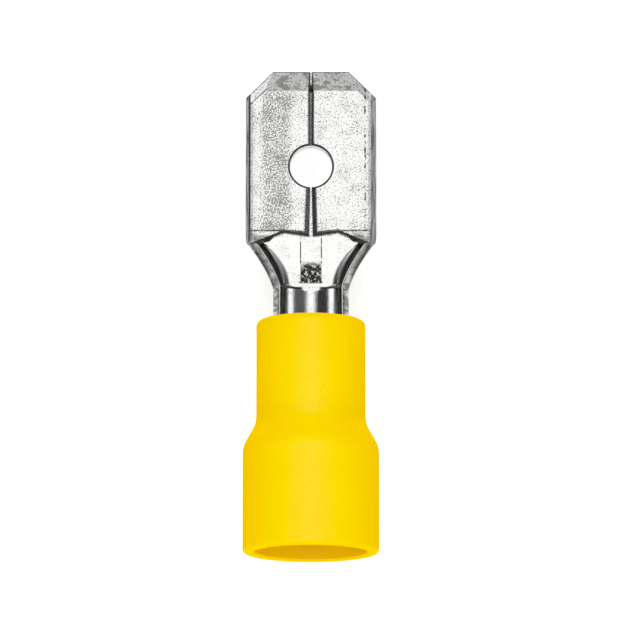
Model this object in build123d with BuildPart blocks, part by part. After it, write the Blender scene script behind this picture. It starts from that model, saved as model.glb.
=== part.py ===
# Insulated male tab crimp terminal: one folded sheet of tinned brass, whose rolled barrel sits in a flared
# insulating sleeve. It lies on its back: the wire mouth is at the origin, the tab's tip points along +Y, and
# the open side of the folds faces +Z. The origin is on the barrel's axis, in the plane of the mouth.
# Every length is in millimetres, and every angle in degrees.
import os
from math import atan, cos, degrees, radians, sin, tan

from build123d import *

# The whole terminal, from the sleeve's mouth to the tab's tip
overall_length = 24.0

# The sheet
sheet = 0.4
layer_gap = 0.02  # left between the two layers of the folded tab
cutter_margin = 2.0  # how far a cutter runs past what it cuts

# The tab, folded double
tab_width = 6.4
folded_length = 7.95
tip_corner_width = 1.05
tip_corner_length = 1.09
tip_bevel_length = 0.55
corner_bevel_length = 0.3
bevel_depth = 0.22
hole_radius = 1.03
hole_from_tip = 4.75

# The seam where the two wings meet, with the rolled-over edges that shearing leaves
seam_gap = 0.06
seam_gap_at_tip = 0.16
seam_gap_at_root = 0.24
seam_flare_length = 0.6
seam_edge_radius = 0.13
seam_edge_radius_at_root = 0.19

# The wings' lower ends: a tongue beside the seam, and a slanting edge out to the shoulder
wing_tongue_half_width = 1.33
wing_tongue_drop = 0.2

# The shoulders and the neck, an open trough that narrows from the tab to the barrel
shoulder_length = 0.78
shoulder_half_width = 3.04
shoulder_floor_half_width = 2.0
# How each fold opens out on its way: share of the length, half width, bend's outer radius, turn, flange
shoulder_opening = [
    (0.45, 3.18, 0.5, 160.0, 0.68),
    (0.8, 3.12, 0.65, 130.0, 0.18),
]
trough_length = 1.85
trough_floor_half_width = 1.0
trough_sweep = 1.4  # how sharply the outline turns in: 1 is straight
trough_stations = 6
floor_end_length = 0.4  # where the flat floor runs out into the round channel
neck_turn = 58.0  # how far the sheet turns up on each side of the channel
wall_straight = 0.1
channel_floor_half_width = 0.02
channel_length = 1.92

# The stiffening rib pressed up from the neck's floor
rib_width = 1.07
rib_height = 0.2
rib_start_length = 0.14
rib_flat_length = 1.15
rib_end_length = 1.0
rib_recess_width = 0.9
rib_from_wing = 0.06

# The barrel, rolled round the wire
barrel_inner_radius = 1.7
barrel_length = 5.2
barrel_collar_setback = 0.6  # the closed ring stops this far short of the barrel's end
barrel_collar_fillet = 0.45
barrel_seam_gap = 0.06
serration_count = 3
serration_pitch = 1.15
serration_width = 0.4
serration_depth = 0.08
serration_from_start = 0.9

# The insulating sleeve
sleeve_past_barrel = 0.25
sleeve_mouth_radius = 3.3
sleeve_grip_radius = 2.64
sleeve_mouth_wall = 0.6
bore_clearance = 0.04  # between the barrel and the sleeve
flare_before_barrel = 0.16  # from the flare's middle to the barrel
flare_angle = 30.0
flare_outer_fillet = 1.4
flare_inner_fillet = 1.0
sleeve_front_round = 0.3
sleeve_lip_round = 0.2
sleeve_inner_round = 0.14

# Places that follow from those sizes
barrel_outer_radius = barrel_inner_radius + sheet
underside = -barrel_outer_radius
floor_top = underside + sheet
wing_underside = floor_top + layer_gap
tab_top = wing_underside + sheet
tab_thickness = tab_top - underside
tab_middle = (underside + tab_top) / 2
tip = overall_length
crease = tip - folded_length
trough_top = crease - shoulder_length
trough_bottom = trough_top - trough_length
channel_end = trough_bottom - floor_end_length
barrel_end = channel_end - channel_length
barrel_start = barrel_end - barrel_length
sleeve_length = barrel_end + sleeve_past_barrel
flare_middle = barrel_start - flare_before_barrel
hole_place = tip - hole_from_tip
fold_inner_radius = layer_gap / 2
fold_outer_radius = fold_inner_radius + sheet
wall_height = barrel_outer_radius * (1 - cos(radians(neck_turn))) + wall_straight * sin(radians(neck_turn))
neck_half_width = barrel_outer_radius * sin(radians(neck_turn)) + wall_straight * cos(radians(neck_turn))
neck_half_width += channel_floor_half_width
wall_top = underside + wall_height


def across(y):
    """The plane that cuts across the terminal at y."""
    return Plane.XZ.offset(-y)


def sheet_section(y, floor_half_width, inner_radius, turn, flange):
    """The sheet cut across at y: a flat floor, a bend at each side that turns up by an angle, and a flange.

    Each side has as many edges at any turn, so that a loft leads a fold's outermost line into a standing wall.
    """
    bend_z = underside + inner_radius + sheet
    upright = min(turn, 90)
    along = (cos(radians(turn)), sin(radians(turn)))

    def on_bend(side, radius, angle, beyond=0):
        return (
            side * (floor_half_width + radius * sin(radians(angle)) + beyond * along[0]),
            bend_z - radius * cos(radians(angle)) + beyond * along[1],
        )

    with BuildSketch(across(y)) as section:
        with BuildLine():
            for radius in (inner_radius, inner_radius + sheet):
                Line(on_bend(-1, radius, 0), on_bend(1, radius, 0))
                for side in (1, -1):
                    ThreePointArc(*[on_bend(side, radius, angle) for angle in (0, upright / 2, upright)])
                    if turn > upright:
                        over = (upright, (upright + turn) / 2, turn)
                        ThreePointArc(*[on_bend(side, radius, angle) for angle in over])
                        Line(on_bend(side, radius, turn), on_bend(side, radius, turn, flange))
                    else:
                        Polyline(*[on_bend(side, radius, turn, flange * share) for share in (0, 0.5, 1)])
            for side in (1, -1):
                Line(*[on_bend(side, radius, turn, flange) for radius in (inner_radius, inner_radius + sheet)])
        make_face()
    return section.sketch


def folded_section(y, wing_end):
    """The tab's section at y: each side folds right over, and its wing reaches in to wing_end."""
    floor_half_width = tab_width / 2 - fold_outer_radius
    return sheet_section(y, floor_half_width, fold_inner_radius, 180, floor_half_width - wing_end)


def trough_section(y, half_width, floor_half_width):
    """The neck's section at y: walls of one height, whose bend fills the width outside the flat floor."""
    bend_width = half_width - floor_half_width
    half_turn_tangent = wall_height / (bend_width + wall_straight)
    turn = 2 * degrees(atan(half_turn_tangent))
    bend_radius = (bend_width - wall_straight * cos(radians(turn))) / sin(radians(turn))
    return sheet_section(y, floor_half_width, bend_radius - sheet, turn, wall_straight)


def seam_cutter(y, gap, edge_radius):
    """The seam's section at y: a slot between the wings, whose upper edges are rounded over."""
    half_gap = gap / 2
    corner = 1 - cos(radians(45))
    with BuildSketch(across(y)) as section:
        with BuildLine():
            for side in (1, -1):
                Line((side * half_gap, floor_top), (side * half_gap, tab_top - edge_radius))
                ThreePointArc(
                    (side * half_gap, tab_top - edge_radius),
                    (side * (half_gap + corner * edge_radius), tab_top - corner * edge_radius),
                    (side * (half_gap + edge_radius), tab_top),
                )
                Line(
                    (side * (half_gap + edge_radius), tab_top),
                    (side * (half_gap + edge_radius), tab_top + cutter_margin),
                )
            Line((-half_gap, floor_top), (half_gap, floor_top))
            Line(
                (-half_gap - edge_radius, tab_top + cutter_margin),
                (half_gap + edge_radius, tab_top + cutter_margin),
            )
        make_face()
    return section.sketch


def cut_bevels(edge_plane, length, depth):
    """Cuts a bevel on both faces along an edge, whose plane looks along it with x pointing outwards."""
    reach = 1 + cutter_margin / length
    with BuildSketch(edge_plane) as bevels:
        for side in (1, -1):
            face = side * tab_thickness / 2
            with BuildLine():
                Polyline(
                    (-length, face),
                    (cutter_margin, face - side * depth * reach),
                    (cutter_margin, face + side * cutter_margin),
                    (-length, face + side * cutter_margin),
                    close=True,
                )
            make_face()
    extrude(bevels.sketch, amount=tab_width, both=True, mode=Mode.SUBTRACT)


# The terminal: one sheet, bent from the round barrel through the open neck to the flat folded tab
with BuildPart() as terminal:
    # The tab
    extrude(folded_section(crease, seam_gap / 2), amount=-folded_length)

    # The shoulders, where each fold opens out from the tab into the neck's standing wall
    shoulders = [folded_section(crease, wing_tongue_half_width)]
    for share, half_width, bend_radius, turn, flange in shoulder_opening:
        y = crease - share * shoulder_length
        shoulders.append(sheet_section(y, half_width - bend_radius, bend_radius - sheet, turn, flange))
    shoulders.append(trough_section(trough_top, shoulder_half_width, shoulder_floor_half_width))
    loft(shoulders)

    # The wings' tongues, which run a little further down beside the seam
    with BuildSketch(Plane.XY.offset(wing_underside)):
        for side in (1, -1):
            with BuildLine():
                Polyline(
                    (0, crease),
                    (side * wing_tongue_half_width, crease),
                    (0, crease - wing_tongue_drop),
                    close=True,
                )
            make_face()
    extrude(amount=sheet)

    # The trough
    trough = []
    for station in range(trough_stations):
        share = station / (trough_stations - 1)
        y = trough_bottom + share * trough_length
        from_channel = (y - channel_end) / (trough_top - channel_end)
        half_width = neck_half_width + (shoulder_half_width - neck_half_width) * from_channel**trough_sweep
        floor_half_width = trough_floor_half_width
        floor_half_width += (shoulder_floor_half_width - trough_floor_half_width) * share**2
        trough.append(trough_section(y, half_width, floor_half_width))
    loft(trough)

    # The round channel that joins the trough to the barrel
    channel = [trough_section(y, neck_half_width, channel_floor_half_width) for y in (barrel_end, channel_end)]
    loft(channel + trough[:1], ruled=True)

    # The barrel, with its butted seam on top
    with BuildSketch(across(barrel_start)):
        Circle(barrel_outer_radius)
        Circle(barrel_inner_radius, mode=Mode.SUBTRACT)
        with Locations((0, barrel_outer_radius)):
            Rectangle(barrel_seam_gap, 2 * barrel_outer_radius - barrel_inner_radius, mode=Mode.SUBTRACT)
    extrude(amount=-barrel_length)
    collar_end = barrel_end - barrel_collar_setback
    with BuildSketch(Plane.YZ) as collar_cut:
        with BuildLine():
            Polyline(
                (collar_end, wall_top),
                (barrel_end, wall_top),
                (barrel_end, barrel_outer_radius + cutter_margin),
                (collar_end, barrel_outer_radius + cutter_margin),
                close=True,
            )
        make_face()
        fillet(collar_cut.vertices().group_by(Axis.X)[0].sort_by(Axis.Y)[0], barrel_collar_fillet)
    extrude(amount=barrel_outer_radius + cutter_margin, both=True, mode=Mode.SUBTRACT)

    # The serrations that bite into the wire's strands
    for ring in range(serration_count):
        with BuildSketch(across(barrel_start + serration_from_start + ring * serration_pitch)):
            Circle(barrel_inner_radius + serration_depth)
        extrude(amount=-serration_width, mode=Mode.SUBTRACT)

    # The seam between the wings, from the hole out to the tip and back to the wings' ends
    seam = [
        seam_cutter(crease - wing_tongue_drop, seam_gap_at_root, seam_edge_radius_at_root),
        seam_cutter(hole_place, seam_gap, seam_edge_radius),
        seam_cutter(tip - seam_flare_length, seam_gap, seam_edge_radius),
        seam_cutter(tip, seam_gap_at_tip, seam_edge_radius),
    ]
    loft(seam, ruled=True, mode=Mode.SUBTRACT)

    # The stiffening rib and the recess that its punch leaves on the underside
    rib_top_start = crease - wing_tongue_drop - rib_from_wing - rib_start_length
    for level, width, mode in ((floor_top, rib_width, Mode.ADD), (underside, rib_recess_width, Mode.SUBTRACT)):
        with BuildSketch(Plane.YZ):
            with BuildLine():
                Polyline(
                    (rib_top_start + rib_start_length, level),
                    (rib_top_start, level + rib_height),
                    (rib_top_start - rib_flat_length, level + rib_height),
                    (rib_top_start - rib_flat_length - rib_end_length, level),
                    close=True,
                )
            make_face()
        extrude(amount=width / 2, both=True, mode=mode)

    # The hole
    with Locations((0, hole_place, tab_top)):
        Hole(radius=hole_radius, depth=tab_thickness)

    # The tip's cut corners, and the lead-in bevels along all three edges
    with BuildSketch(Plane.XY.offset(underside)):
        for side in (1, -1):
            with BuildLine():
                Polyline(
                    (side * (tab_width / 2 - tip_corner_width), tip),
                    (side * tab_width / 2, tip - tip_corner_length),
                    (side * (tab_width / 2 + cutter_margin), tip - tip_corner_length),
                    (side * (tab_width / 2 + cutter_margin), tip),
                    close=True,
                )
            make_face()
    extrude(amount=tab_thickness, mode=Mode.SUBTRACT)
    cut_bevels(Plane((0, tip, tab_middle), x_dir=(0, 1, 0), z_dir=(1, 0, 0)), tip_bevel_length, bevel_depth)
    for side in (1, -1):
        outwards = (side * tip_corner_length, tip_corner_width, 0)
        along_edge = (tip_corner_width, -side * tip_corner_length, 0)
        corner = (side * (tab_width - tip_corner_width) / 2, tip - tip_corner_length / 2, tab_middle)
        cut_bevels(Plane(corner, x_dir=outwards, z_dir=along_edge), corner_bevel_length, bevel_depth)

# The insulating sleeve, turned about the barrel's axis
sleeve_bore_radius = barrel_outer_radius + bore_clearance
sleeve_entry_radius = sleeve_mouth_radius - sleeve_mouth_wall
flare_rise = sleeve_mouth_radius - sleeve_grip_radius
funnel_rise = sleeve_entry_radius - sleeve_bore_radius
flare_run = flare_rise / tan(radians(flare_angle))
funnel_run = funnel_rise / tan(radians(flare_angle))
funnel_middle = flare_middle - (flare_run - funnel_run) / 2

with BuildPart() as insulating_sleeve:
    with BuildSketch() as sleeve_profile:
        with BuildLine():
            outside = FilletPolyline(
                (sleeve_mouth_radius, 0),
                (sleeve_mouth_radius, flare_middle - flare_run / 2),
                (sleeve_grip_radius, flare_middle + flare_run / 2),
                (sleeve_grip_radius, sleeve_length),
                radius=flare_outer_fillet,
            )
            inside = FilletPolyline(
                (sleeve_entry_radius, 0),
                (sleeve_entry_radius, funnel_middle - funnel_run / 2),
                (sleeve_bore_radius, funnel_middle + funnel_run / 2),
                (sleeve_bore_radius, sleeve_length),
                radius=flare_inner_fillet,
            )
            Line(outside @ 0, inside @ 0)
            Line(outside @ 1, inside @ 1)
        make_face()
        levels = sleeve_profile.vertices().group_by(Axis.Y)
        inner_lip, outer_lip = levels[0].sort_by(Axis.X)
        inner_front, outer_front = levels[-1].sort_by(Axis.X)
        fillet(outer_lip, sleeve_lip_round)
        fillet(outer_front, sleeve_front_round)
        fillet([inner_lip, inner_front], sleeve_inner_round)
    revolve(axis=Axis.Y)

terminal.part.label = "terminal"
insulating_sleeve.part.label = "insulating_sleeve"
os.makedirs("parts", exist_ok=True)
for piece in (terminal.part, insulating_sleeve.part):
    export_step(piece, f"parts/{piece.label}.step")
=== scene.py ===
import math

import bpy
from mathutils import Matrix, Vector


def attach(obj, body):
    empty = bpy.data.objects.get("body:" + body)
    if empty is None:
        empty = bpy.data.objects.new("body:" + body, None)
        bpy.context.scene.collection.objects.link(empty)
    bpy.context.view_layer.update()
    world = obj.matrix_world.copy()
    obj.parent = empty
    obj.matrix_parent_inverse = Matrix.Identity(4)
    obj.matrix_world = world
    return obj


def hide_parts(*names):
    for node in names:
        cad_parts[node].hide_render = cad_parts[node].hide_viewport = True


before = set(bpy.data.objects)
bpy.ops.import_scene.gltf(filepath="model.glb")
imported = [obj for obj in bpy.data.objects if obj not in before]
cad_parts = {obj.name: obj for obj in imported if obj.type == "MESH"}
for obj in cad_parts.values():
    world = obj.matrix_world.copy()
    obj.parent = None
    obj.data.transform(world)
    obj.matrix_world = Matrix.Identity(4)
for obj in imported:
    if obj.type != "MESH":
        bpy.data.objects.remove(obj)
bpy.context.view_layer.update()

mm = 0.001  # the frame is in metres, and every length below is in millimetres
scene = bpy.context.scene
print("frame loaded:", sorted(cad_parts))

# almost straight down on the seam side, tipped a little towards the wire mouth
cameraSettings = {
    "target": (0.44, 11.059, 1.942),
    "direction": (0.0, -0.17295, 0.98493),
    "frameWidth": 30.823,
    "lens": 400.0,
    "sensor": 36.0,
}


def addCamera(settings):
    distance = settings["frameWidth"] * settings["lens"] / settings["sensor"]
    target = Vector(settings["target"]) * mm
    direction = Vector(settings["direction"]).normalized()
    bpy.ops.object.camera_add(location=target + direction * distance * mm)
    camera = bpy.context.object
    camera.name = "photoCamera"
    camera.rotation_euler = (-direction).to_track_quat("-Z", "Y").to_euler()
    camera.data.lens = settings["lens"]
    camera.data.sensor_width = settings["sensor"]
    camera.data.clip_start = 10 * mm
    camera.data.clip_end = 20.0
    scene.camera = camera


addCamera(cameraSettings)
print("camera set")


# modelling helpers
def deselectAll():
    if bpy.context.object and bpy.context.object.mode != "OBJECT":
        bpy.ops.object.mode_set(mode="OBJECT")
    bpy.ops.object.select_all(action="DESELECT")


def makeActive(piece):
    deselectAll()
    piece.select_set(True)
    bpy.context.view_layer.objects.active = piece


def applyModifiers(piece):
    makeActive(piece)
    for modifier in list(piece.modifiers):
        bpy.ops.object.modifier_apply(modifier=modifier.name)


def toMetres(piece):  # pieces are modelled in millimetres, then shrunk into the frame
    makeActive(piece)
    piece.scale = (mm, mm, mm)
    bpy.ops.object.transform_apply(location=True, rotation=True, scale=True)


def useMaterial(piece, material):
    piece.data.materials.clear()
    piece.data.materials.append(material)


# material helpers
def newMaterial(name):
    material = bpy.data.materials.new(name)
    material.use_nodes = True
    return material, material.node_tree, material.node_tree.nodes["Principled BSDF"]


def addNode(tree, kind, inputs=None, **settings):  # an input is a value, or the socket that feeds it
    node = tree.nodes.new("ShaderNode" + kind)
    for name, value in settings.items():
        setattr(node, name, value)
    for name, value in (inputs or {}).items():
        if isinstance(value, bpy.types.NodeSocket):
            tree.links.new(value, node.inputs[name])
        else:
            node.inputs[name].default_value = value
    return node


def mapped(tree, source, start, end, low=0.0, high=1.0):
    values = {"Value": source, "From Min": start, "From Max": end, "To Min": low, "To Max": high}
    return addNode(tree, "MapRange", values, interpolation_type="SMOOTHSTEP").outputs["Result"]


def falling(tree, source, start, end):  # 1 before the start and 0 after the end
    return mapped(tree, source, start, end, 1.0, 0.0)


def combined(tree, operation, *values):
    result = values[0]
    for value in values[1:]:
        result = addNode(tree, "Math", {0: result, 1: value}, operation=operation).outputs[0]
    return result


def total(tree, *values):
    return combined(tree, "ADD", *values)


def product(tree, *values):
    return combined(tree, "MULTIPLY", *values)


def largest(tree, *values):
    return combined(tree, "MAXIMUM", *values)


def lessened(tree, value, by):
    return combined(tree, "SUBTRACT", value, by)


def unsigned(tree, value):  # without its sign
    return addNode(tree, "Math", {0: value}, operation="ABSOLUTE").outputs[0]


def band(tree, source, start, end, soft):  # 1 between two places, with soft ends
    rise = mapped(tree, source, start - soft, start + soft)
    return product(tree, rise, falling(tree, source, end - soft, end + soft))


lineSoftness = 0.025


def line(tree, source, place, halfWidth):
    away = unsigned(tree, lessened(tree, source, place))
    return falling(tree, away, halfWidth, halfWidth + lineSoftness)


def grey(level):
    return (level, level, level * 0.985, 1.0)


def mixedColour(tree, mask, a, b):
    node = addNode(tree, "Mix", {0: mask, 6: a, 7: b}, data_type="RGBA")
    return node.outputs[2]


def greyBetween(tree, mask, greys):
    low, high = greys
    return mixedColour(tree, mask, grey(low), grey(high))


def placeOn(tree):  # where a point lies on the part, in millimetres
    place = addNode(tree, "TexCoord").outputs["Object"]
    place = addNode(tree, "VectorMath", {0: place, "Scale": 1 / mm}, operation="SCALE").outputs[0]
    return addNode(tree, "SeparateXYZ", {0: place}).outputs


speckleDetail = 3.5


def makeSpeckle():  # a grain with a given number of features to the millimetre
    group = bpy.data.node_groups.new("speckle", "ShaderNodeTree")
    group.interface.new_socket(name="Stretch", in_out="INPUT", socket_type="NodeSocketVector")
    for name in ("Scale", "Low", "High"):
        group.interface.new_socket(name=name, in_out="INPUT", socket_type="NodeSocketFloat")
    for name in ("Mask", "Height"):
        group.interface.new_socket(name=name, in_out="OUTPUT", socket_type="NodeSocketFloat")
    given = group.nodes.new("NodeGroupInput").outputs
    place = addNode(group, "TexCoord").outputs["Object"]
    place = addNode(group, "VectorMath", {0: place, "Scale": 1 / mm}, operation="SCALE").outputs[0]
    place = addNode(group, "VectorMath", {0: place, 1: given["Stretch"]}, operation="MULTIPLY").outputs[0]
    values = {"Vector": place, "Scale": given["Scale"], "Detail": speckleDetail}
    noise = addNode(group, "TexNoise", values).outputs["Fac"]
    mask = mapped(group, noise, given["Low"], given["High"])
    result = group.nodes.new("NodeGroupOutput").inputs
    group.links.new(mask, result["Mask"])
    group.links.new(noise, result["Height"])
    return group


speckleGroup = makeSpeckle()


def speckle(tree, scale, low, high, stretch=(1.0, 1.0, 1.0)):
    values = {"Stretch": stretch, "Scale": scale, "Low": low, "High": high}
    return addNode(tree, "Group", values, node_tree=speckleGroup).outputs


def bumped(tree, height, strength, depth):
    values = {"Height": height, "Strength": strength, "Distance": depth * mm}
    return addNode(tree, "Bump", values).outputs["Normal"]


# in the finishes' settings a grain is its features to the millimetre, its two levels and its stretch,
# a line is its place and half its width, and three numbers are a band's ends and their softness
tinSettings = {
    # bright plating with fine dark specks and dots, denser in blotches and rare on the neck
    "bright": 0.95,
    "dull": 0.27,
    "roughness": 0.17,
    "specks": (14.0, 0.365, 0.475),
    "dots": (15.0, 0.27, 0.33),
    "dotGrey": 0.12,
    "blotches": (1.4, 0.42, 0.68),
    "blotchMiddle": 0.4,
    "blotchShift": 0.06,
    "blotchTone": 0.1,
    "neckShift": -0.09,
    "neckShiftEnds": (15.7, 15.9),
    "relief": (0.4, 0.01),
    # the left half of the tab is duller and more mottled
    "dullSides": (-2.35, -1.0, 0.25),
    "dullEnds": (16.1, 23.0, 0.1),
    "dullShift": 0.1,
    "dullTone": 0.1,
    # the shoulders' facets get painted shade, and the tip's bevel is dull in places
    "shadedFacets": [((-2.95, -2.6, 0.06), (15.5, 15.9, 0.05)), ((2.0, 2.6, 0.06), (15.68, 15.98, 0.05))],
    "facetShade": 0.5,
    "bevelPatches": (2.4, 0.44, 0.56, (1.0, 1.5, 1.0)),
    "bevelStart": (22.95, 23.1),
    "bevelTone": 0.7,
    # the press leaves a dented row beside the right fold; dark lines of painted shade lie along the rib's
    # sides, the step at the neck's channel, a line along the tip's left corner, the seam's end, the crease
    # and the left fold's line
    "dentAndShadeGrey": 0.06,
    "rowLine": (2.64, 0.03),
    "rowStart": (16.0, 16.3),
    "rowDents": (5.0, 0.48, 0.54, (1.0, 0.6, 1.0)),
    "ribLine": (0.508, 0.015),
    "ribEnds": (14.5, 15.75, 0.02),
    "ribDashes": (5.0, 0.4, 0.46, (0.2, 1.0, 0.2)),
    "stepStart": (0.35, 0.5),
    "stepEnds": (13.2, 13.34, 0.03),
    "cornerLine": (18.033, 0.015),
    "cornerLineSide": (-0.1, 0.1),
    "cornerLineEnd": (23.0, 23.2),
    "cornerLineShare": 0.8,
    "seamSides": (0.1, 0.15),
    "seamEnds": (22.97, 23.34, 0.02),
    "seamLip": (0.08, 0.015),
    "creaseLine": (16.04, 0.015),
    "creaseEnds": (1.45, 2.9, 0.05),
    "creaseBreaks": (3.0, 0.36, 0.54),
    "foldLine": (-3.0, 0.035),
    # the folds' outsides, the shoulders, the neck's underside and the cut ends get a streaky grey painted
    # shade
    "tabStart": (15.2, 15.4),
    "leftFold": (-3.07, -3.03),
    "rightFold": (2.9, 2.95),
    "shoulderFacing": (0.3, 1.0),
    "shoulderEnd": (16.1, 16.3),
    "belowFacing": (-0.6, -0.3),
    "belowEnd": (14.9, 15.4),
    "cornerOutwards": (0.6991, 0.715),  # the direction of the tip's corner cuts
    "cornerEdge": (18.393, 18.423),  # and their distance from the origin
    "bevelSide": (17.983, 18.033),
    "tipEdge": (23.94, 23.97),
    "streaks": (4.0, 0.38, 0.62, (3.0, 0.2, 1.0)),
    "shadeGreys": (0.12, 0.36),
    "shadedRoughness": 0.4,
    # and the folds are worn to white lines
    "leftWorn": (-2.96, -2.79, 0.02),
    "rightWorn": (2.8, 2.86),
    "wornMatte": 0.65,
    # the neck's walls get a dull painted shade above a height, and in the trough from lower down, and
    # darker
    "wallFacing": (-0.3, -0.1),
    "wallStart": (-1.34, -1.18),
    "wallEnd": (15.4, 15.6),
    "wallShadeGreys": (0.06, 0.24),
    "wallRoughness": 0.35,
    "troughStart": (13.1, 13.5),
    "troughLower": 0.37,
    "troughShade": 0.65,
    "troughShadeGrey": 0.03,
    # the rib's ramp is rough and dark, with painted glints in its chips' colour
    "rampStart": (13.48, 13.56),
    "rampEnd": (14.3, 14.64),
    "rampSides": (0.48, 0.52),
    "rampTop": (-1.75, -1.7),
    "chips": (6.0, 0.5, 0.58),
    "chipAndGlintGreys": (0.05, 0.95),
    "chipDepth": 20.0,
    "rampRoughness": 0.3,
    "rampMatte": 0.5,
}


def placesOnTin(tree, s):  # where a point lies, and how its face looks
    x, y, z = placeOn(tree)
    across = unsigned(tree, x)
    facing = addNode(tree, "SeparateXYZ", {0: addNode(tree, "TexCoord").outputs["Normal"]}).outputs
    outwards, onwards = s["cornerOutwards"]
    return {
        "x": x,
        "y": y,
        "z": z,
        "across": across,
        "toCorner": total(tree, product(tree, across, outwards), product(tree, y, onwards)),
        "onTab": mapped(tree, y, *s["tabStart"]),
        "up": facing["Z"],
        "upwards": mapped(tree, facing["Z"], -0.1, 0.1),
        "outwards": product(tree, facing["X"], x),
    }


def plating(tree, at, s):  # its colour, and the height of its grain
    x, y = at["x"], at["y"]
    dull = product(tree, band(tree, x, *s["dullSides"]), band(tree, y, *s["dullEnds"]))
    blotches = speckle(tree, *s["blotches"])["Mask"]
    shift = total(
        tree,
        product(tree, lessened(tree, blotches, s["blotchMiddle"]), s["blotchShift"]),
        product(tree, dull, s["dullShift"]),
        mapped(tree, y, *s["neckShiftEnds"], s["neckShift"], 0.0),
    )
    scale, low, high = s["specks"]
    specks = speckle(tree, scale, total(tree, shift, low), total(tree, shift, high))
    colour = greyBetween(tree, specks["Mask"], (s["dull"], s["bright"]))
    tones = [total(tree, product(tree, dull, s["dullTone"]), product(tree, blotches, s["blotchTone"]))]
    # painted shade on the shoulders' facets
    for sides, ends in s["shadedFacets"]:
        tones.append(product(tree, band(tree, x, *sides), band(tree, y, *ends), s["facetShade"]))
    patches = speckle(tree, *s["bevelPatches"])["Mask"]
    onBevel = mapped(tree, y, *s["bevelStart"])
    besideCorner = falling(tree, at["toCorner"], *s["bevelSide"])
    tones.append(product(tree, patches, onBevel, besideCorner, s["bevelTone"]))
    colour = mixedColour(tree, largest(tree, *tones), colour, grey(s["dull"]))
    dots = speckle(tree, *s["dots"])["Mask"]
    return mixedColour(tree, dots, grey(s["dotGrey"]), colour), specks["Height"]


# the row beside the right fold is dents; the other dark lines are painted shade where the sheet bends,
# steps or parts
def pressDentsAndShadeLines(tree, at, s):
    x, y, across = at["x"], at["y"], at["across"]
    start, end, soft = s["seamEnds"]
    row = product(tree, line(tree, x, *s["rowLine"]), mapped(tree, y, *s["rowStart"]))
    rib = product(tree, line(tree, across, *s["ribLine"]), band(tree, y, *s["ribEnds"]))
    corner = product(
        tree,
        line(tree, at["toCorner"], *s["cornerLine"]),
        falling(tree, x, *s["cornerLineSide"]),
        falling(tree, y, *s["cornerLineEnd"]),
        s["cornerLineShare"],
    )
    crease = product(tree, line(tree, y, *s["creaseLine"]), band(tree, across, *s["creaseEnds"]))
    dentsAndShade = [
        product(tree, row, speckle(tree, *s["rowDents"])["Mask"]),
        product(tree, rib, speckle(tree, *s["ribDashes"])["Mask"]),
        product(tree, mapped(tree, across, *s["stepStart"]), band(tree, y, *s["stepEnds"])),
        corner,
        product(tree, falling(tree, across, *s["seamSides"]), band(tree, y, start, end, soft)),
        product(tree, line(tree, across, *s["seamLip"]), mapped(tree, y, start, end)),
        product(tree, crease, speckle(tree, *s["creaseBreaks"])["Mask"]),
        product(tree, line(tree, x, *s["foldLine"]), at["onTab"]),
    ]
    return product(tree, largest(tree, *dentsAndShade), at["upwards"])


# the places painted grey as shade: the folds' outsides, the shoulders, the underside and the cut ends
def shadedPlaces(tree, at, s):
    x, y = at["x"], at["y"]
    folds = largest(tree, falling(tree, x, *s["leftFold"]), mapped(tree, x, *s["rightFold"]))
    shoulders = mapped(tree, at["outwards"], *s["shoulderFacing"])
    below = falling(tree, at["up"], *s["belowFacing"])
    return largest(
        tree,
        product(tree, folds, at["onTab"]),
        product(tree, shoulders, falling(tree, y, *s["shoulderEnd"])),
        product(tree, below, falling(tree, y, *s["belowEnd"])),
        mapped(tree, at["toCorner"], *s["cornerEdge"]),
        mapped(tree, y, *s["tipEdge"]),
    )


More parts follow.
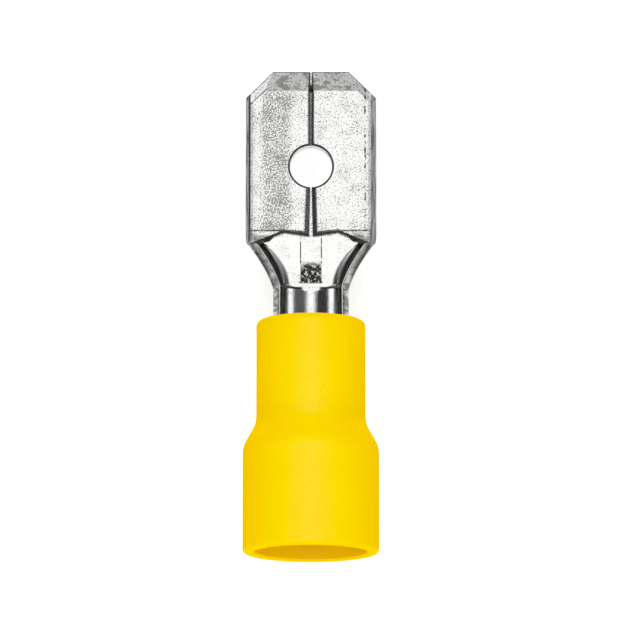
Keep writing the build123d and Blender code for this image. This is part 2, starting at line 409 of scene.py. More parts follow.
def finishTin(s):
    material, tree, shader = newMaterial("brightTinPlate")
    at = placesOnTin(tree, s)
    x, y = at["x"], at["y"]
    colour, grain = plating(tree, at, s)
    # dents and dark painted shade lines
    colour = mixedColour(tree, pressDentsAndShadeLines(tree, at, s), colour, grey(s["dentAndShadeGrey"]))

    streaks = speckle(tree, *s["streaks"])["Mask"]
    # painted shade, streaky grey
    shaded = shadedPlaces(tree, at, s)
    colour = mixedColour(tree, shaded, colour, greyBetween(tree, streaks, s["shadeGreys"]))

    inTrough = mapped(tree, y, *s["troughStart"])
    height = total(tree, at["z"], product(tree, inTrough, s["troughLower"]))
    wall = product(
        tree,
        falling(tree, at["outwards"], *s["wallFacing"]),
        mapped(tree, height, *s["wallStart"]),
        falling(tree, y, *s["wallEnd"]),
    )
    # painted shade on the neck's walls, darker in the trough
    wallShade = greyBetween(tree, streaks, s["wallShadeGreys"])
    wallShade = mixedColour(tree, product(tree, inTrough, s["troughShade"]), wallShade, grey(s["troughShadeGrey"]))
    colour = mixedColour(tree, wall, colour, wallShade)

    chips = speckle(tree, *s["chips"])
    ramp = product(
        tree,
        mapped(tree, y, *s["rampStart"]),
        falling(tree, y, *s["rampEnd"]),
        falling(tree, at["across"], *s["rampSides"]),
        mapped(tree, at["z"], *s["rampTop"]),
    )
    # the chips' colour holds painted glints
    colour = mixedColour(tree, ramp, colour, greyBetween(tree, chips["Mask"], s["chipAndGlintGreys"]))
    tree.links.new(colour, shader.inputs["Base Color"])

    dents = product(tree, ramp, lessened(tree, chips["Height"], 0.5), s["chipDepth"])
    tree.links.new(bumped(tree, total(tree, grain, dents), *s["relief"]), shader.inputs["Normal"])
    rough = largest(
        tree,
        product(tree, shaded, s["shadedRoughness"]),
        product(tree, ramp, s["rampRoughness"]),
        product(tree, wall, s["wallRoughness"]),
        s["roughness"],
    )
    tree.links.new(rough, shader.inputs["Roughness"])
    worn = largest(tree, band(tree, x, *s["leftWorn"]), mapped(tree, x, *s["rightWorn"]))
    worn = product(tree, worn, at["onTab"], at["upwards"], s["wornMatte"])
    matte = largest(tree, worn, product(tree, ramp, s["rampMatte"]))
    tree.links.new(lessened(tree, 1.0, matte), shader.inputs["Metallic"])
    return material


shearSettings = {
    "streaks": (4.5, 0.36, 0.6, (0.5, 1.0, 1.0)),
    "greys": (0.3, 0.85),
    "upperStart": (13.7, 14.3),  # duller from here on, towards the shoulders
    "upperTone": 0.6,
    "upperGrey": 0.3,
    "relief": (0.5, 0.02),
    "roughness": 0.34,
}


def finishShearedEdge(s):
    material, tree, shader = newMaterial("shearedTinEdge")
    streaks = speckle(tree, *s["streaks"])
    colour = greyBetween(tree, streaks["Mask"], s["greys"])
    upper = product(tree, mapped(tree, placeOn(tree)["Y"], *s["upperStart"]), s["upperTone"])
    colour = mixedColour(tree, upper, colour, grey(s["upperGrey"]))
    tree.links.new(colour, shader.inputs["Base Color"])
    tree.links.new(bumped(tree, streaks["Height"], *s["relief"]), shader.inputs["Normal"])
    shader.inputs["Metallic"].default_value = 1.0
    shader.inputs["Roughness"].default_value = s["roughness"]
    return material


edgeSettings = {
    "mottle": (5.0, 0.3, 0.5),
    # the neck's inner edges, rubbed bright
    "burnishedTinEdge": {"greys": (0.75, 0.95), "metallic": 0.35, "roughness": 0.5},
    # outer corners, the wing ends and the punched hole's rim, painted dark grey as shade
    "paintedShadeTinEdge": {"greys": (0.05, 0.16), "metallic": 1.0, "roughness": 0.45},
}


def finishEdge(name, s):
    material, tree, shader = newMaterial(name)
    mottle = speckle(tree, *s["mottle"])["Mask"]
    tree.links.new(greyBetween(tree, mottle, s[name]["greys"]), shader.inputs["Base Color"])
    shader.inputs["Metallic"].default_value = s[name]["metallic"]
    shader.inputs["Roughness"].default_value = s[name]["roughness"]
    return material


vinylSettings = {
    "colour": (0.98, 0.72, 0.001, 1.0),
    "shade": (0.97, 0.68, 0.0, 1.0),
    "clouds": (0.5, 0.35, 0.65),
    "grain": (10.0, 0.35, 0.6),
    "cloudShare": 0.5,
    # what is seen at a slant gets a deeper painted-shade colour, and is less glossy
    "slantShadeColour": (1.0, 0.645, 0.0, 1.0),
    "shadeSlant": (0.05, 0.5),
    "sheen": (0.38, 0.0),
    "sheenSlant": (0.01, 0.09),
    # the inside of the mouth gets a deeper painted-shade colour too
    "insideShadeColour": (1.0, 0.64, 0.0, 1.0),
    "insideRadii": (2.72, 2.82),
    "insideEnd": (3.5, 4.5),
    "grainLevels": (0.3, 0.7),
    "roughness": (0.24, 0.34),
    "relief": (0.75, 0.02),
}


def finishVinyl(s):
    material, tree, shader = newMaterial("yellowVinyl")
    clouds = speckle(tree, *s["clouds"])["Mask"]
    grain = speckle(tree, *s["grain"])
    share = s["cloudShare"]
    tone = total(tree, product(tree, clouds, share), product(tree, grain["Mask"], 1 - share))
    colour = mixedColour(tree, tone, s["shade"], s["colour"])
    slant = addNode(tree, "LayerWeight", {"Blend": 0.5}).outputs["Facing"]
    # painted shade: a deeper colour at a slant
    colour = mixedColour(tree, mapped(tree, slant, *s["shadeSlant"]), colour, s["slantShadeColour"])
    x, y, z = placeOn(tree)
    squared = total(tree, product(tree, x, x), product(tree, z, z))
    inside = falling(tree, squared, *[radius**2 for radius in s["insideRadii"]])
    inside = product(tree, inside, falling(tree, y, *s["insideEnd"]))
    # painted shade inside the mouth
    colour = mixedColour(tree, inside, colour, s["insideShadeColour"])
    tree.links.new(colour, shader.inputs["Base Color"])
    sheen = mapped(tree, slant, *s["sheenSlant"], *s["sheen"])
    tree.links.new(sheen, shader.inputs["Specular IOR Level"])
    rough = mapped(tree, grain["Height"], *s["grainLevels"], *s["roughness"])
    tree.links.new(rough, shader.inputs["Roughness"])
    tree.links.new(bumped(tree, grain["Height"], *s["relief"]), shader.inputs["Normal"])
    return material


floorSettings = {
    "size": 4000.0,
    "height": -3.3,
    "colour": 0.88,
    "glow": 0.5,  # what the camera and the mirroring metal see of it besides, so that it is white
    "roughness": 0.9,
}


def finishFloor(s):
    material, tree, shader = newMaterial("paleFloor")
    path = addNode(tree, "LightPath").outputs
    seen = total(tree, path["Is Camera Ray"], path["Is Glossy Ray"], path["Is Transmission Ray"])
    seen = combined(tree, "MINIMUM", seen, 1.0)
    tree.links.new(product(tree, seen, s["glow"]), shader.inputs["Emission Strength"])
    shader.inputs["Emission Color"].default_value = (1, 1, 1, 1)
    shader.inputs["Base Color"].default_value = (s["colour"], s["colour"], s["colour"], 1)
    shader.inputs["Roughness"].default_value = s["roughness"]
    return material


tin = finishTin(tinSettings)
shearedTin = finishShearedEdge(shearSettings)
burnishedTin = finishEdge("burnishedTinEdge", edgeSettings)
paintedShadeTin = finishEdge("paintedShadeTinEdge", edgeSettings)
vinyl = finishVinyl(vinylSettings)
print("materials made")

# the insulating sleeve, turned round the barrel's axis
sleeveSettings = {
    "length": 11.35,
    "mouthRadius": 3.2975,
    "gripRadius": 2.64,
    "entryRadius": 2.7,
    "boreRadius": 2.14,
    "flareMiddle": 5.74,
    "funnelMiddle": 5.662,
    "flareAngle": 30.0,
    "outerFillet": 1.4,
    "innerFillet": 1.0,
    "lipRound": 0.2,
    "frontRound": 0.3,
    "innerRound": 0.14,
    "profileStart": 1.5,  # where the turned profile begins and ends, on the mouth's outside
    "arcSteps": 7,
    "segments": 128,
    "smoothAngle": 40.0,
}


def roundedPath(points, radii, steps):
    path = [points[0]]
    for before, corner, after, radius in zip(points, points[1:], points[2:], radii):
        a = (before - corner).normalized()
        b = (after - corner).normalized()
        half = a.angle(b) / 2
        reach = radius / math.tan(half)
        centre = corner + (a + b).normalized() * radius / math.sin(half)
        start = corner + a * reach - centre
        end = corner + b * reach - centre
        whole = start.angle(end)
        for step in range(steps + 1):
            share = step / steps
            mixed = start * math.sin((1 - share) * whole) + end * math.sin(share * whole)
            path.append(centre + mixed / math.sin(whole))
    path.append(points[-1])
    return path


def sleeveProfile(s):
    slope = math.tan(math.radians(s["flareAngle"]))
    outerRun = (s["mouthRadius"] - s["gripRadius"]) / slope / 2
    innerRun = (s["entryRadius"] - s["boreRadius"]) / slope / 2
    corners = [
        (s["mouthRadius"], s["profileStart"]),
        (s["mouthRadius"], s["flareMiddle"] - outerRun),
        (s["gripRadius"], s["flareMiddle"] + outerRun),
        (s["gripRadius"], s["length"]),
        (s["boreRadius"], s["length"]),
        (s["boreRadius"], s["funnelMiddle"] + innerRun),
        (s["entryRadius"], s["funnelMiddle"] - innerRun),
        (s["entryRadius"], 0.0),
        (s["mouthRadius"], 0.0),
        (s["mouthRadius"], s["profileStart"]),
    ]
    radii = [s["outerFillet"], s["outerFillet"], s["frontRound"], s["innerRound"]]
    radii += [s["innerFillet"], s["innerFillet"], s["innerRound"], s["lipRound"]]
    return roundedPath([Vector((x, y, 0)) for x, y in corners], radii, s["arcSteps"])


def buildSleeve(s):
    profile = sleeveProfile(s)
    deselectAll()
    bpy.ops.mesh.primitive_plane_add(size=1, location=(0, 0, 0))
    sleeve = bpy.context.object
    sleeve.name = "mouldedSleeve"
    sleeve.data.name = "mouldedSleeve"
    bpy.ops.object.mode_set(mode="EDIT")
    bpy.ops.mesh.merge(type="CENTER")
    place = Vector((0, 0, 0))
    bpy.ops.transform.translate(value=profile[0] - place)
    place = profile[0]
    for point in profile[1:]:
        bpy.ops.mesh.extrude_vertices_move(TRANSFORM_OT_translate={"value": point - place})
        place = point
    bpy.ops.mesh.select_all(action="SELECT")
    bpy.ops.mesh.spin(steps=s["segments"], angle=math.tau, center=(0, 0, 0), axis=(0, 1, 0))
    bpy.ops.mesh.select_all(action="SELECT")
    bpy.ops.mesh.remove_doubles(threshold=0.001)
    bpy.ops.mesh.normals_make_consistent(inside=False)
    bpy.ops.object.mode_set(mode="OBJECT")
    bpy.ops.object.shade_smooth_by_angle(angle=math.radians(s["smoothAngle"]))
    toMetres(sleeve)
    useMaterial(sleeve, vinyl)
    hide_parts("insulating_sleeve")
    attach(sleeve, "root")
    return sleeve


sleeve = buildSleeve(sleeveSettings)
print("sleeve turned:", len(sleeve.data.polygons), "faces")

# the terminal: one sheet, whose blank is a flat grid that is laid into the barrel, neck and folded tab
sheetSettings = {
    "thickness": 0.4,
    "layerGap": 0.02,
    "underside": -2.1,
    "barrelRadius": 2.1,
    "barrelStart": 5.9,
    "collarLine": 10.5,
    "barrelEnd": 11.1,
    "collarFillet": 0.45,
    "barrelSeamGap": 0.06,
    "channelEnd": 13.02,
    "floorStart": 13.42,
    "troughTop": 15.27,
    "crease": 16.05,
    "channelHalfWidth": 1.854,
    "troughHalfWidth": 3.04,
    "troughSweep": 1.4,
    "floorHalfWidths": (0.02, 1.0, 2.0),
    "wallHeight": 1.072,
    "wallStraight": 0.1,
    "leastFloor": 0.8,  # the grid's floor lines reach at least this far
    "tongueHalfWidth": 1.33,
    "tongueDrop": 0.2,
    # how each fold opens out below the crease: y, half width, floor's half width, turn, flange
    "opening": [
        (15.27, 3.04, 2.00, 86.5, 0.1),
        (15.38, 3.10, 2.45, 130.0, 0.1),
        (15.50, 3.16, 2.70, 163.0, 0.16),
        (15.75, 3.19, 2.78, 176.0, 0.74),
        (16.05, 3.20, 2.79, 180.0, 1.46),
    ],
    # the seam's gap and rolled edges at the root, below and above the hole, at the flare and the tip
    "seamPlaces": (15.85, 18.2, 20.2, 23.3, 24.0),
    "seamGap": (0.17, 0.07, 0.016, 0.03, 0.12),
    "seamRoll": (0.32, 0.28, 0.18, 0.18, 0.16),
    "seamTilt": 28.0,
    "creaseDepth": 0.03,
    "creaseEnd": 3.0,
}

# the grid's lines, counted outwards from the middle, and its rows from the wire end to the tip
nearMiddle = [0, 0.15, 0.3, 0.42, 0.435, 0.5, 0.515, 0.6, 0.7]
floorLines, bendLines, flangeLines, wingLines = 8, 14, 4, 18
sideLines = len(nearMiddle) - 1 + floorLines + bendLines + flangeLines + wingLines
barrelRows = [6.3, 6.79, 6.81, 7.19, 7.21, 7.94, 7.96, 8.34, 8.36, 9.09, 9.11, 9.49, 9.51, 10.0]
channelRows, stepRows, troughRows, openingRows = 12, 8, 24, 20
tabRows = [16.1, 16.2, 16.4, 16.8, 17.4, 18.1, 18.7, 19.25, 19.8, 20.5, 21.5, 22.5, 23.0]
tabRows += [23.4, 23.55, 23.7, 23.85, 24.0]


def evenly(start, end, count):
    return [start + (end - start) * k / count for k in range(count)]


def gridRows(s):
    rows = [s["barrelStart"], *barrelRows, s["collarLine"]]
    rows += evenly(s["barrelEnd"], s["channelEnd"], channelRows)
    rows += evenly(s["channelEnd"], s["floorStart"], stepRows)
    rows += evenly(s["floorStart"], s["troughTop"], troughRows)
    rows += evenly(s["troughTop"], s["crease"], openingRows)
    return rows + [s["crease"]] + tabRows


def stepwise(places, values, at):
    if at <= places[0]:
        return values[0]
    for k in range(len(places) - 1):
        if at <= places[k + 1]:
            share = (at - places[k]) / (places[k + 1] - places[k])
            return values[k] + (values[k + 1] - values[k]) * share
    return values[-1]


def smoothly(places, values, at):  # a curve through the values, whose slope at each is its neighbours'
    k = max(i for i in range(len(places) - 1) if at >= places[i] or i == 0)
    width = places[k + 1] - places[k]
    share = min(max((at - places[k]) / width, 0), 1)

    def slope(i):
        low, high = max(i - 1, 0), min(i + 1, len(places) - 1)
        return (values[high] - values[low]) / (places[high] - places[low])

    a, b = values[k], values[k + 1]
    ta, tb = slope(k) * width, slope(k + 1) * width
    return (
        a * (2 * share**3 - 3 * share**2 + 1)
        + ta * (share**3 - 2 * share**2 + share)
        + b * (3 * share**2 - 2 * share**3)
        + tb * (share**3 - share**2)
    )


def sectionAt(y, s):
    # the floor's half width, the bend's outer radius and turn, and the flange up to the neck's cut edge
    if y <= s["channelEnd"]:
        halfWidth, floor = s["channelHalfWidth"], s["floorHalfWidths"][0]
    else:
        rise = (y - s["channelEnd"]) / (s["troughTop"] - s["channelEnd"])
        halfWidth = s["channelHalfWidth"]
        halfWidth += (s["troughHalfWidth"] - s["channelHalfWidth"]) * rise ** s["troughSweep"]
        low, middle, high = s["floorHalfWidths"]
        if y <= s["floorStart"]:
            share = (y - s["channelEnd"]) / (s["floorStart"] - s["channelEnd"])
            floor = low + (middle - low) * share * (2 - share)
        else:
            share = (y - s["floorStart"]) / (s["troughTop"] - s["floorStart"])
            floor = middle + (high - middle) * share**2
    if y <= s["troughTop"]:
        flange = s["wallStraight"]
        turn = 2 * math.atan(s["wallHeight"] / (halfWidth - floor + flange))
    else:
        places = [row[0] for row in s["opening"]]
        y = min(y, s["crease"])
        halfWidth, floor, turn, flange = [
            smoothly(places, [row[k] for row in s["opening"]], y) for k in (1, 2, 3, 4)
        ]
        turn = math.radians(turn)
    if turn >= math.pi / 2:
        radius = halfWidth - floor
    else:
        radius = (halfWidth - floor - flange * math.cos(turn)) / math.sin(turn)
    return floor, radius, turn, flange


def outerPoint(along, y, s):
    # a point of the sheet's outer face, so far from the middle line along the section at y
    floor, radius, turn, _ = sectionAt(y, s)
    if y <= s["barrelEnd"]:
        angle = along / s["barrelRadius"]
        return s["barrelRadius"] * math.sin(angle), -s["barrelRadius"] * math.cos(angle)
    if along <= floor:
        return along, s["underside"]
    angle = min((along - floor) / radius, turn)
    beyond = max(along - floor - radius * turn, 0)
    x = floor + radius * math.sin(angle) + beyond * math.cos(angle)
    return x, s["underside"] + radius - radius * math.cos(angle) + beyond * math.sin(angle)


def linesAcross(y, s):
    # where the grid's lines cross this section, as lengths along the sheet from its middle line
    floor, radius, turn, flange = sectionAt(y, s)
    floorEnd = max(floor, s["leastFloor"])
    bendEnd = floor + radius * turn
    flangeEnd = bendEnd + flange
    lines = nearMiddle[:-1] + evenly(nearMiddle[-1], floorEnd, floorLines)
    lines += evenly(floorEnd, bendEnd, bendLines) + evenly(bendEnd, flangeEnd, flangeLines)
    if y < s["crease"]:
        wingEnd = math.pi * s["barrelRadius"] - s["barrelSeamGap"] / 2
        return lines + evenly(flangeEnd, wingEnd, wingLines) + [wingEnd]
    roll = stepwise(s["seamPlaces"], s["seamRoll"], y)
    wingEnd = bendEnd + floor - stepwise(s["seamPlaces"], s["seamGap"], y) / 2
    rollShares = [1, 0.83, 0.66, 0.5, 0.33, 0.16, 0]
    lines += evenly(flangeEnd, wingEnd - roll, wingLines - len(rollShares) + 1)
    return lines + [wingEnd - roll * share for share in rollShares]


plated, sheared, burnished, shadedEdge = range(4)  # the terminal's material slots


def layBlank(s):
    rows = gridRows(s)
    deselectAll()
    bpy.ops.mesh.primitive_grid_add(x_subdivisions=2 * sideLines, y_subdivisions=len(rows) - 1, size=2)
    blank = bpy.context.object
    blank.name = "foldedTerminal"
    blank.data.name = "foldedTerminal"
    places = {}
    for vertex in blank.data.vertices:
        column = round(vertex.co.x * sideLines)
        row = round((vertex.co.y + 1) / 2 * (len(rows) - 1))
        places[vertex.index] = (column, row)
    wingStart = sideLines - wingLines
    openRows = range(rows.index(s["collarLine"]), rows.index(s["crease"]))
    bpy.ops.object.mode_set(mode="EDIT")
    bpy.ops.mesh.select_mode(type="FACE")
    bpy.ops.mesh.select_all(action="DESELECT")
    bpy.ops.object.mode_set(mode="OBJECT")
    for face in blank.data.polygons:  # the corners that the shears take out of the blank, beside the neck
        column = min(abs(places[v][0]) for v in face.vertices)
        row = min(places[v][1] for v in face.vertices)
        face.select = column >= wingStart and row in openRows
    across = {row: linesAcross(y, s) for row, y in enumerate(rows)}
    for vertex in blank.data.vertices:
        column, row = places[vertex.index]
        y = rows[row]
        along = across[row][abs(column)]
        x, z = outerPoint(along, y, s)
        if y >= s["crease"]:
            fromEnd = across[row][-1] - along
            roll = stepwise(s["seamPlaces"], s["seamRoll"], y)
            if fromEnd < roll:
                radius = roll / math.sin(math.radians(s["seamTilt"]))
                z -= radius - math.sqrt(radius**2 - (roll - fromEnd) ** 2)
            if y == s["crease"] and x < s["creaseEnd"] and z > s["underside"] + s["thickness"]:
                z -= s["creaseDepth"]
        if y == s["crease"] and abs(column) > wingStart:
            y -= s["tongueDrop"] * (1 - x / s["tongueHalfWidth"])
        if y == s["collarLine"]:
            fillet = s["collarFillet"]
            past = along - across[row][wingStart]
            if past >= 0:
                near = max(fillet - past, 0)
                y += fillet - math.sqrt(fillet**2 - near**2)
            else:
                y += fillet * (along / across[row][wingStart]) ** 4
        vertex.co = (math.copysign(x, column), y, z)
    bpy.ops.object.mode_set(mode="EDIT")
    bpy.ops.mesh.delete(type="FACE")
    bpy.ops.object.mode_set(mode="OBJECT")
    return blank


def thicken(blank, s):
    outer = [vertex.co.copy() for vertex in blank.data.vertices]
    wall = blank.modifiers.new("sheetThickness", "SOLIDIFY")
    wall.thickness = s["thickness"]
    wall.offset = 1
    wall.use_even_offset = True
    wall.material_offset_rim = sheared
    applyModifiers(blank)
    # the wings lie flat on the floor, and the rolled seam edges don't press into it
    wingUnderside = s["underside"] + s["thickness"] + s["layerGap"]
    flatHalfWidth = s["opening"][-1][2]
    vertices = blank.data.vertices
    for k, co in enumerate(outer):
        inner = max(vertices[k], vertices[len(outer) + k], key=lambda v: (v.co - co).length)
        onWing = co.y >= s["crease"] - s["tongueDrop"] and co.z > wingUnderside
        if onWing and abs(co.x) < flatHalfWidth:
            inner.co = (co.x, co.y, wingUnderside)


# what is pressed, punched and cut once the sheet is folded
pressSettings = {
    "tip": 24.0,
    "underside": sheetSettings["underside"],
    "sheetMiddle": sheetSettings["underside"] + sheetSettings["thickness"] / 2,
    "tabTop": -1.28,
    "tabHalfWidth": 3.2,
    "cornerWidth": 1.35,
    "cornerLength": 1.32,
    "tipBevelLength": 1.0,
    "cornerBevelLength": 0.42,
    "bevelDepth": 0.22,
    "holeRadius": 1.03,
    "holePlace": 19.25,
    "holeSides": 80,
    "rimWidth": 0.1,
    "rimTilt": 33.0,
    "punchPast": 1.0,  # the punch stands this far out of both faces
    "ribPlaces": (13.5, 14.5, 15.777, 15.816),
    "ribHeights": (0.0, 0.16, 0.16, 0.0),
    "ribHalfWidth": 0.5,
    "recessHalfWidth": 0.42,
    "ribSide": 0.015,
    "ribCeiling": 0.35,  # what lies further above the sheet's middle isn't pressed
    "edgeBreak": 0.03,
    "edgeAngle": 40.0,
    "neckEnd": 15.3,
    "tipStart": 22.2,
    # edges that stay as they are: round the hole, inside the folds and along the seam
    "rimReach": 0.2,
    "foldReach": 0.1,
    "foldStart": 15.0,
    "seamReach": 0.2,
    "seamStart": 15.8,
    "smoothAngle": 30.0,
    "tipAngle": 10.0,
    # how far up or back a face has to point to be the punch's top, its rim, a bevel or a wing's end
    "topFacing": 0.9,
    "rimFacing": (0.3, 0.95),
    "bevelFacing": 0.5,
    "endFacing": 0.3,
}


def pressRib(terminal, s):
    for vertex in terminal.data.vertices:
        x, y, z = vertex.co
        height = z - s["sheetMiddle"]
        if height > s["ribCeiling"] or not s["ribPlaces"][0] < y < s["ribPlaces"][-1]:
            continue
        halfWidth = s["ribHalfWidth"] if height > 0 else s["recessHalfWidth"]
        side = min(max((halfWidth + s["ribSide"] - abs(x)) / s["ribSide"], 0), 1)
        vertex.co.z += side * stepwise(s["ribPlaces"], s["ribHeights"], y)


def punchHole(terminal, s):
    rise = s["rimWidth"] * math.tan(math.radians(s["rimTilt"]))
    low = s["underside"] - s["punchPast"]
    high = s["tabTop"] - rise
    middle = (0, s["holePlace"], (low + high) / 2)
    deselectAll()
    bpy.ops.mesh.primitive_cylinder_add(
        vertices=s["holeSides"], radius=s["holeRadius"], depth=high - low, location=middle
    )
    punch = bpy.context.object
    useMaterial(punch, burnishedTin)
    punch.data.materials.append(paintedShadeTin)
    bpy.ops.object.mode_set(mode="EDIT")
    bpy.ops.mesh.select_mode(type="FACE")
    bpy.ops.mesh.select_all(action="DESELECT")
    bpy.ops.object.mode_set(mode="OBJECT")
    for face in punch.data.polygons:
        face.select = face.normal.z > s["topFacing"]
    bpy.ops.object.mode_set(mode="EDIT")
    # the rolled rim that the punch draws in, and above it the punch goes straight on
    bpy.ops.mesh.extrude_region_move(TRANSFORM_OT_translate={"value": (0, 0, rise)})
    wider = (s["holeRadius"] + s["rimWidth"]) / s["holeRadius"]
    bpy.ops.transform.resize(value=(wider, wider, 1), center_override=(0, s["holePlace"], 0))
    bpy.ops.mesh.extrude_region_move(TRANSFORM_OT_translate={"value": (0, 0, s["punchPast"])})
    bpy.ops.object.mode_set(mode="OBJECT")
    least, most = s["rimFacing"]
    for face in punch.data.polygons:  # the slanting rim gets the dark painted shade
        face.material_index = 1 if least < abs(face.normal.z) < most else 0
    cut = terminal.modifiers.new("punchedHole", "BOOLEAN")
    cut.operation = "DIFFERENCE"
    cut.solver = "EXACT"
    cut.material_mode = "TRANSFER"
    cut.object = punch
    applyModifiers(terminal)
    bpy.data.objects.remove(punch)


def cutTip(terminal, s):
    makeActive(terminal)
    bpy.ops.object.mode_set(mode="EDIT")

    def cut(place, outwards):
        bpy.ops.mesh.select_all(action="SELECT")
        bpy.ops.mesh.bisect(plane_co=place, plane_no=outwards, use_fill=True, clear_outer=True)

    faces = ((s["tabTop"], 1), (s["underside"], -1))
    for side in (1, -1):
        corner = Vector((side * (s["tabHalfWidth"] - s["cornerWidth"]), s["tip"], 0))
        outwards = Vector((side * s["cornerLength"], s["cornerWidth"], 0)).normalized()
        cut(corner, outwards)
        for level, up in faces:
            start = corner - outwards * s["cornerBevelLength"]
            start.z = level
            slope = outwards * s["bevelDepth"] + Vector((0, 0, up * s["cornerBevelLength"]))
            cut(start, slope.normalized())
    for level, up in faces:
        slope = Vector((0, s["bevelDepth"], up * s["tipBevelLength"]))
        cut((0, s["tip"] - s["tipBevelLength"], level), slope.normalized())
    bpy.ops.object.mode_set(mode="OBJECT")
    for face in terminal.data.polygons:  # the bevels are plated, and the cut ends between them sheared
        if face.center.y > s["tipStart"] and abs(face.normal.z) > s["bevelFacing"]:
            face.material_index = plated


def selectSharp(terminal, degrees, wanted):  # the sharp edges for whose middle and key wanted is true
    makeActive(terminal)
    bpy.ops.object.mode_set(mode="EDIT")
    bpy.ops.mesh.select_mode(type="EDGE")
    bpy.ops.mesh.select_all(action="DESELECT")
    bpy.ops.mesh.edges_select_sharp(sharpness=math.radians(degrees))
    bpy.ops.object.mode_set(mode="OBJECT")
    mesh = terminal.data
    for face in mesh.polygons:
        face.select = False
    for vertex in mesh.vertices:
        vertex.select = False
    for edge in mesh.edges:
        ends = [mesh.vertices[k] for k in edge.vertices]
        edge.select = edge.select and wanted((ends[0].co + ends[1].co) / 2, edge.key)
        for vertex in ends:
            vertex.select = vertex.select or edge.select
    bpy.ops.object.mode_set(mode="EDIT")


def breakEdges(terminal, s):
    beside = {}
    for face in terminal.data.polygons:
        for key in face.edge_keys:
            beside.setdefault(key, set()).add(face.material_index)
    foldLine = (s["tabTop"] + s["underside"]) / 2

    def atCut(middle, key):
        fromHole = math.hypot(middle.x, middle.y - s["holePlace"])
        inFold = abs(middle.z - foldLine) < s["foldReach"] and middle.y > s["foldStart"]
        atSeam = abs(middle.x) < s["seamReach"] and middle.y > s["seamStart"]
        if fromHole < s["holeRadius"] + s["rimReach"] or inFold or atSeam:
            return False
        return beside[key] == {plated, sheared} or middle.y > s["tipStart"]

    selectSharp(terminal, s["edgeAngle"], atCut)
    bpy.ops.mesh.bevel(offset=s["edgeBreak"], segments=2, clamp_overlap=False)
    bpy.ops.object.mode_set(mode="OBJECT")
    # broken edges on the neck get the bright edge finish; the others and the wing ends get the dark
    # painted shade
    for face in terminal.data.polygons:
        onNeck = face.center.y < s["neckEnd"]
        backwards = face.normal.y < -s["endFacing"]
        wingEnd = face.material_index == sheared and backwards and not onNeck
        if face.select and onNeck:
            face.material_index = burnished
        elif face.select or wingEnd:
            face.material_index = shadedEdge


def sharpenTip(terminal, s):
    bpy.ops.object.shade_smooth_by_angle(angle=math.radians(s["smoothAngle"]))
    selectSharp(terminal, s["tipAngle"], lambda middle, key: middle.y > s["tipStart"])
    bpy.ops.mesh.mark_sharp()
    bpy.ops.object.mode_set(mode="OBJECT")


def buildTerminal(s, p):
    terminal = layBlank(s)
    useMaterial(terminal, tin)
    for material in (shearedTin, burnishedTin, paintedShadeTin):
        terminal.data.materials.append(material)
    thicken(terminal, s)
    pressRib(terminal, p)
    punchHole(terminal, p)
    cutTip(terminal, p)
    breakEdges(terminal, p)
    sharpenTip(terminal, p)
    toMetres(terminal)
    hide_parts("terminal")
    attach(terminal, "root")
    return terminal


terminal = buildTerminal(sheetSettings, pressSettings)
print("terminal folded:", len(terminal.data.polygons), "faces")


def layFloor(s):
    deselectAll()
    bpy.ops.mesh.primitive_plane_add(size=s["size"] * mm, location=(0, 0, s["height"] * mm))
    floor = bpy.context.object
    floor.name = "floor"
    useMaterial(floor, finishFloor(s))


layFloor(floorSettings)
print("floor laid")

# the room that the metal mirrors, by direction: a bright strip overhead along the part that ends in
# front, a glow low down on both sides, a dim glow at both ends, a patch behind on each side, and dark
# between them
roomSettings = {
    "dark": 0.03,
    "rightDark": 0.09,
    "rightDarkStart": (0.15, 0.4),
    "strip": 1.1,
    "stripHalfWidth": (0.1, 0.32),
    "stripFront": (-0.3, -0.1),
    "stripBack": (0.34, 0.83),
    "stripBackEnd": 0.1,
    "sideGlow": 1.15,
    "sideGlowHeights": (0.16, 0.5, 0.05),
    "sideGlowStart": (0.6, 0.8),
    "sideGlowBack": (0.25, 0.45),
    "sideGlowBackShare": 0.35,
    "horizon": 0.4,
    "horizonTop": (0.0, 0.1),
    "endGlow": 0.34,
    "frontGlowEnd": (-0.6, -0.35),
    "backGlowStart": (0.25, 0.48),
    "patches": [((-0.53, 0.71, 0.46), 0.95), ((0.53, 0.71, 0.46), 0.6)],
    "patchRadius": (0.1, 0.3),
}


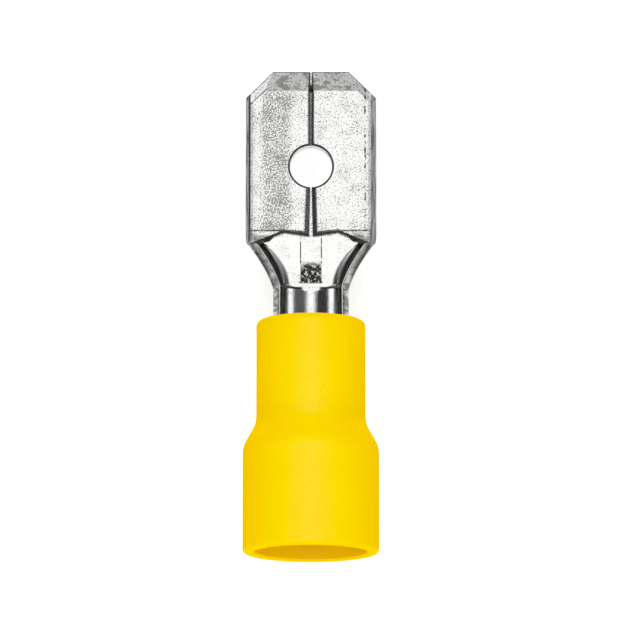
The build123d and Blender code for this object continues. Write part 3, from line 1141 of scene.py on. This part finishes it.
def lightRoom(s):
    world = bpy.data.worlds.new("studioRoom")
    scene.world = world
    world.use_nodes = True
    tree = world.node_tree
    direction = addNode(tree, "TexCoord").outputs["Generated"]
    x, y, z = addNode(tree, "SeparateXYZ", {0: direction}).outputs
    across = unsigned(tree, x)
    strip = product(
        tree,
        mapped(tree, across, *s["stripHalfWidth"], s["strip"], 0.0),
        mapped(tree, y, *s["stripFront"]),
        mapped(tree, y, *s["stripBack"], 1.0, s["stripBackEnd"]),
    )
    sides = product(
        tree,
        band(tree, z, *s["sideGlowHeights"]),
        mapped(tree, across, *s["sideGlowStart"], 0.0, s["sideGlow"]),
        mapped(tree, y, *s["sideGlowBack"], 1.0, s["sideGlowBackShare"]),
    )
    level = largest(
        tree,
        strip,
        sides,
        mapped(tree, z, *s["horizonTop"], s["horizon"], s["dark"]),
        mapped(tree, x, *s["rightDarkStart"], s["dark"], s["rightDark"]),
        mapped(tree, y, *s["frontGlowEnd"], s["endGlow"], 0.0),
        mapped(tree, y, *s["backGlowStart"], 0.0, s["endGlow"]),
    )
    for place, strength in s["patches"]:
        away = addNode(tree, "VectorMath", {0: direction, 1: place}, operation="DISTANCE").outputs["Value"]
        level = largest(tree, level, mapped(tree, away, *s["patchRadius"], strength, 0.0))
    background = tree.nodes["Background"]
    background.inputs["Color"].default_value = (1, 1, 1, 1)
    tree.links.new(level, background.inputs["Strength"])


lightRoom(roomSettings)

# soft boxes that light the sleeve evenly, from both sides and both ends; the metal doesn't mirror them
lampSettings = {
    "leftBox": {"direction": (-0.75, 0.0, 0.66), "size": 180.0, "power": 0.16},
    "rightBox": {"direction": (0.75, 0.0, 0.66), "size": 180.0, "power": 0.16},
    "frontBox": {"direction": (0.0, -0.9, 0.44), "size": 120.0, "power": 0.29},
    "backBox": {"direction": (0.0, 0.87, 0.5), "size": 120.0, "power": 0.24},
}
lampAim = (0, 12, 0)  # the part's middle
lampDistance = 250.0


def addLamp(name, s):
    direction = Vector(s["direction"]).normalized()
    place = Vector(lampAim) + direction * lampDistance
    bpy.ops.object.light_add(type="AREA", location=place * mm)
    lamp = bpy.context.object
    lamp.name = name
    lamp.rotation_euler = (-direction).to_track_quat("-Z", "Y").to_euler()
    lamp.data.size = s["size"] * mm
    lamp.data.energy = s["power"]
    lamp.visible_glossy = False
    lamp.visible_camera = False


for name, settings in lampSettings.items():
    addLamp(name, settings)
scene.view_settings.view_transform = "Standard"
print("room lit")
